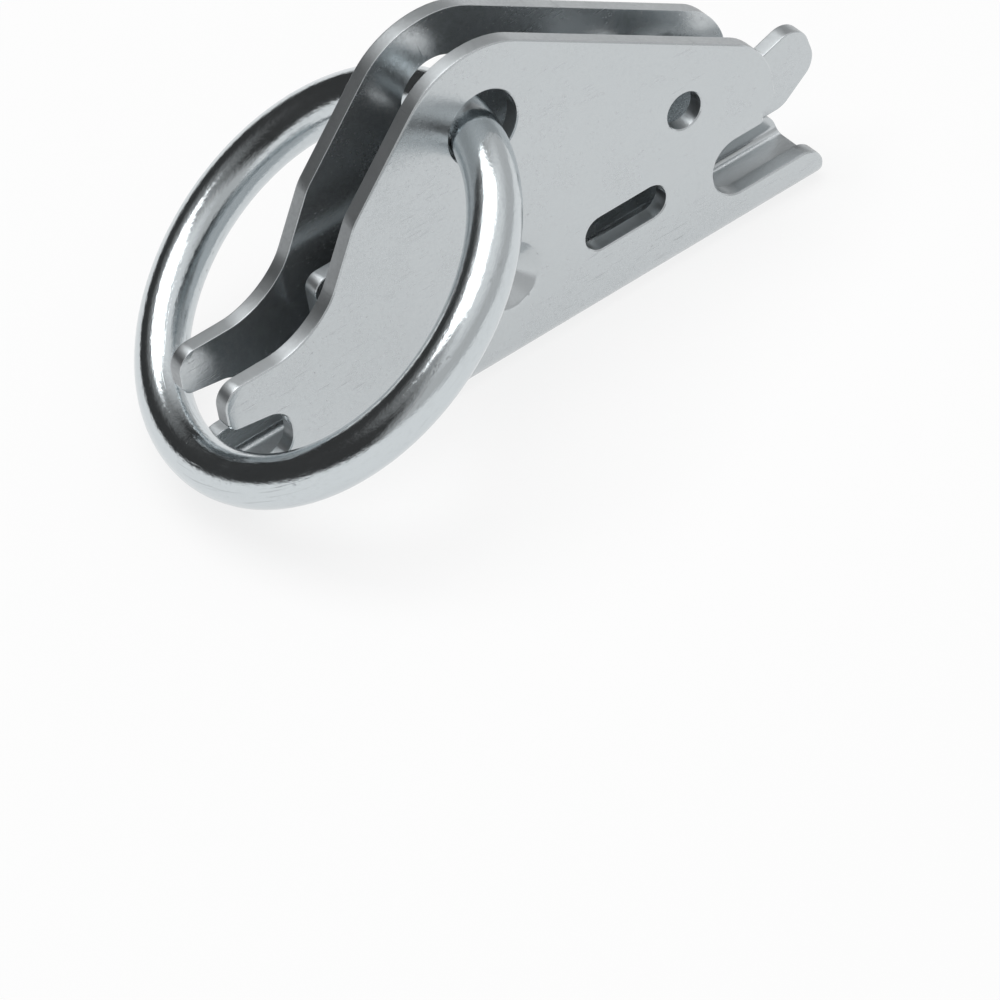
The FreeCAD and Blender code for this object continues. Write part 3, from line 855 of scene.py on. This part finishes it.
def punched_edges_and_side_shade(web, normal, tone, rough, dark):
    """Tone and roughness with the cut edges rougher, and darker where they face sideways: partly their own
    finish, partly painted shade; not darker where they face up.
    """
    facing = web.add("ShaderNodeSeparateXYZ", Vector=normal).outputs
    across = web.ranged(web.maths("ABSOLUTE", facing["Y"]), CUT_FACING, (1.0, 0.0))
    punched = web.product(across, web.ranged(facing["Z"], CUT_ABOVE))
    # Painted shade: cut edges that face sideways are made darker, those that face up are not.
    shade = web.product(punched, web.ranged(facing["Z"], CUT_UPWARD, (dark, 0.0)))
    darker = web.maths("SUBTRACT", tone, shade)
    return darker, web.total(rough, web.product(punched, PUNCHED_ROUGHER))


def along_the_bar(web, place, centre, turn):
    """The ring's own coordinates, drawn out along its bar so that the marks run round it."""
    lay = web.nodes.new("ShaderNodeMapping")
    lay.vector_type = "TEXTURE"
    web.set(lay, Vector=place, Location=centre, Rotation=turn.to_euler("XYZ"))
    own = web.add("ShaderNodeSeparateXYZ", Vector=lay.outputs["Vector"]).outputs
    flat = web.add("ShaderNodeCombineXYZ", X=own["X"], Y=own["Y"])
    out = web.nodes.new("ShaderNodeVectorMath")
    out.operation = "LENGTH"
    web.feed(out.inputs[0], flat.outputs[0])
    along = web.product(web.maths("ARCTAN2", own["Y"], own["X"]), RING_DRAWN)
    drawn = web.add("ShaderNodeCombineXYZ", X=along, Y=out.outputs["Value"], Z=own["Z"])
    return drawn.outputs[0]


def plated_sheet(finish):
    return plated(
        "Plated sheet", finish.sheet_colour, finish.sheet_roughness, SHEET_WEAR, PLATE_BUMP,
        metallic=PLATE_METALLIC, edge_dark_and_shade=SHEET_EDGE_DARK_AND_SHADE,
    )


def plated_latch(finish):
    return plated(
        "Plated latch", finish.sheet_colour, finish.sheet_roughness, LATCH_WEAR, PLATE_BUMP,
        metallic=PLATE_METALLIC, edge_dark_and_shade=LATCH_EDGE_DARK_AND_SHADE,
    )


def plated_ring(finish, centre, turn):
    return plated(
        "Plated ring", finish.ring_colour, finish.ring_roughness, RING_WEAR, RING_BUMP,
        ring_place=(centre, turn),
    )


def spring_wire_steel(finish):
    return plated("Spring wire", finish.spring_colour, SPRING_ROUGHNESS, SPRING_WEAR, SPRING_BUMP)


# Stage

FLOOR_SIZE = 8.0
FLOOR_GAP = 0.02 * MM
FLOOR_COLOUR = (0.9, 0.9, 0.9, 1.0)
FLOOR_GLOW_SHARE = 0.8

# The world grows lighter towards one side and overhead, and is pale at the horizon and below.
WALL_TOWARDS = (0.62, -0.78)
WALL_BAND = (-0.25, 0.2)
WALL_LEVELS = (0.05, 0.6)
RISE_BAND = (0.55, 0.85)
RISE_LEVELS = (0.0, 0.35)
PALE_BAND = (0.06, 0.13)
PALE_LEVEL = 0.95

LAMP_PLACE = Vector((-0.14, 0.2, 1.1))
LAMP_SIZE = (0.95, 0.9)
LAMP_POWER = 7.6

CAMERA_LENS = 304.58
CAMERA_SENSOR = 36.0
CAMERA_CLIP = (0.05, 20.0)


def white_where_seen(material):
    """Make the floor plain white to the camera and in reflections, with a soft shadow."""
    web = NodeWeb(material.node_tree)
    shader = web.nodes["Principled BSDF"]
    web.set(shader, Base_Color=FLOOR_COLOUR, Roughness=1.0, Specular_IOR_Level=0.0)
    glow = web.add("ShaderNodeEmission", Strength=1.0)
    ray = web.add("ShaderNodeLightPath").outputs
    seen = web.maths("MAXIMUM", ray["Is Camera Ray"], ray["Is Glossy Ray"])
    seen = web.maths("MAXIMUM", seen, ray["Is Transmission Ray"])
    mix = web.nodes.new("ShaderNodeMixShader")
    for index, value in enumerate((web.product(seen, FLOOR_GLOW_SHARE), shader.outputs[0], glow.outputs[0])):
        web.feed(mix.inputs[index], value)
    web.set(web.nodes["Material Output"], Surface=mix.outputs[0])
    web.arrange()


def overhead_lamp():
    """One wide soft lamp above the anchor, turned towards the origin."""
    data = bpy.data.lights.new("overhead", "AREA")
    data.energy = LAMP_POWER
    data.shape = "RECTANGLE"
    data.size, data.size_y = LAMP_SIZE
    lamp = bpy.data.objects.new("overhead", data)
    bpy.context.scene.collection.objects.link(lamp)
    lamp.location = LAMP_PLACE
    lamp.rotation_mode = "QUATERNION"
    lamp.rotation_quaternion = (-LAMP_PLACE).to_track_quat("-Z", "Y")


def camera_place(azimuth, elevation, roll, distance, aim):
    """Where a camera stands that looks at a point from a direction, turned about its line of sight."""
    a, e = math.radians(azimuth), math.radians(elevation)
    back = Vector((math.sin(a) * math.cos(e), -math.cos(a) * math.cos(e), math.sin(e)))
    turn = back.to_track_quat("Z", "Y").to_matrix().to_4x4() @ Matrix.Rotation(math.radians(roll), 4, "Z")
    return Matrix.Translation(Vector(aim) + back * distance) @ turn


class ANCHOR_OT_stage(bpy.types.Operator):
    """Lay the pale floor, hang the soft lamp and stand the camera where the photograph was taken"""

    bl_idname = "anchor.stage"
    bl_label = "Studio"

    def execute(self, context):
        deselect_all()
        bpy.ops.mesh.primitive_plane_add(size=FLOOR_SIZE, location=(0, 0, -FLOOR_GAP))
        floor = named("floor")
        material = new_material("White floor")
        white_where_seen(material)
        give_material(floor, material)
        self.surround(context)
        overhead_lamp()
        self.camera(context)
        context.scene.view_settings.view_transform = "Standard"
        return {"FINISHED"}

    def surround(self, context):
        world = bpy.data.worlds.new("Studio")
        context.scene.world = world
        world.use_nodes = True
        web = NodeWeb(world.node_tree)
        where = web.add("ShaderNodeTexCoord").outputs["Generated"]
        towards = web.add("ShaderNodeSeparateXYZ", Vector=where).outputs
        side = web.total(
            web.product(towards["X"], WALL_TOWARDS[0]), web.product(towards["Y"], WALL_TOWARDS[1])
        )
        wall = web.ranged(side, WALL_BAND, WALL_LEVELS)
        rise = web.ranged(towards["Z"], RISE_BAND, RISE_LEVELS)
        pale = web.ranged(towards["Z"], PALE_BAND, (1.0, 0.0))
        level = web.nodes.new("ShaderNodeMix")
        for index, value in ((0, pale), (2, web.total(wall, rise)), (3, PALE_LEVEL)):
            web.feed(level.inputs[index], value)
        web.set(web.nodes["Background"], Color=level.outputs[0])
        web.arrange()

    def camera(self, context):
        data = bpy.data.cameras.new("camera")
        data.lens = CAMERA_LENS
        data.sensor_width = CAMERA_SENSOR
        data.clip_start, data.clip_end = CAMERA_CLIP
        camera = bpy.data.objects.new("camera", data)
        context.scene.collection.objects.link(camera)
        camera.matrix_world = camera_place(
            azimuth=-30.046, elevation=41.239, roll=-10.329, distance=0.92338,
            aim=(-0.00816, -0.00869, -0.01324),
        )
        context.scene.camera = camera


# Add-on


class ANCHOR_PT_panel(bpy.types.Panel):
    """Sizes, finish and the pieces of the anchor"""

    bl_idname = "ANCHOR_PT_panel"
    bl_label = "Tie-down anchor"
    bl_space_type = "VIEW_3D"
    bl_region_type = "UI"
    bl_category = "Anchor"

    def draw(self, context):
        column = self.layout.column()
        for group in (context.scene.anchor_sizes, context.scene.anchor_finish):
            for key in group.__annotations__:
                column.prop(group, key)
        for operator in OPERATORS:
            column.operator(operator.bl_idname)


OPERATORS = (ANCHOR_OT_channel, ANCHOR_OT_latch, ANCHOR_OT_ring, ANCHOR_OT_spring, ANCHOR_OT_stage)
CLASSES = (AnchorSizes, AnchorFinish, *OPERATORS, ANCHOR_PT_panel)


def register():
    for cls in CLASSES:
        bpy.utils.register_class(cls)
    bpy.types.Scene.anchor_sizes = bpy.props.PointerProperty(type=AnchorSizes)
    bpy.types.Scene.anchor_finish = bpy.props.PointerProperty(type=AnchorFinish)


def unregister():
    del bpy.types.Scene.anchor_finish
    del bpy.types.Scene.anchor_sizes
    for cls in reversed(CLASSES):
        bpy.utils.unregister_class(cls)


def main():
    register()
    bpy.ops.anchor.channel()
    bpy.ops.anchor.latch()
    bpy.ops.anchor.ring()
    bpy.ops.anchor.spring()
    bpy.ops.anchor.stage()


if __name__ == "__main__":
    main()
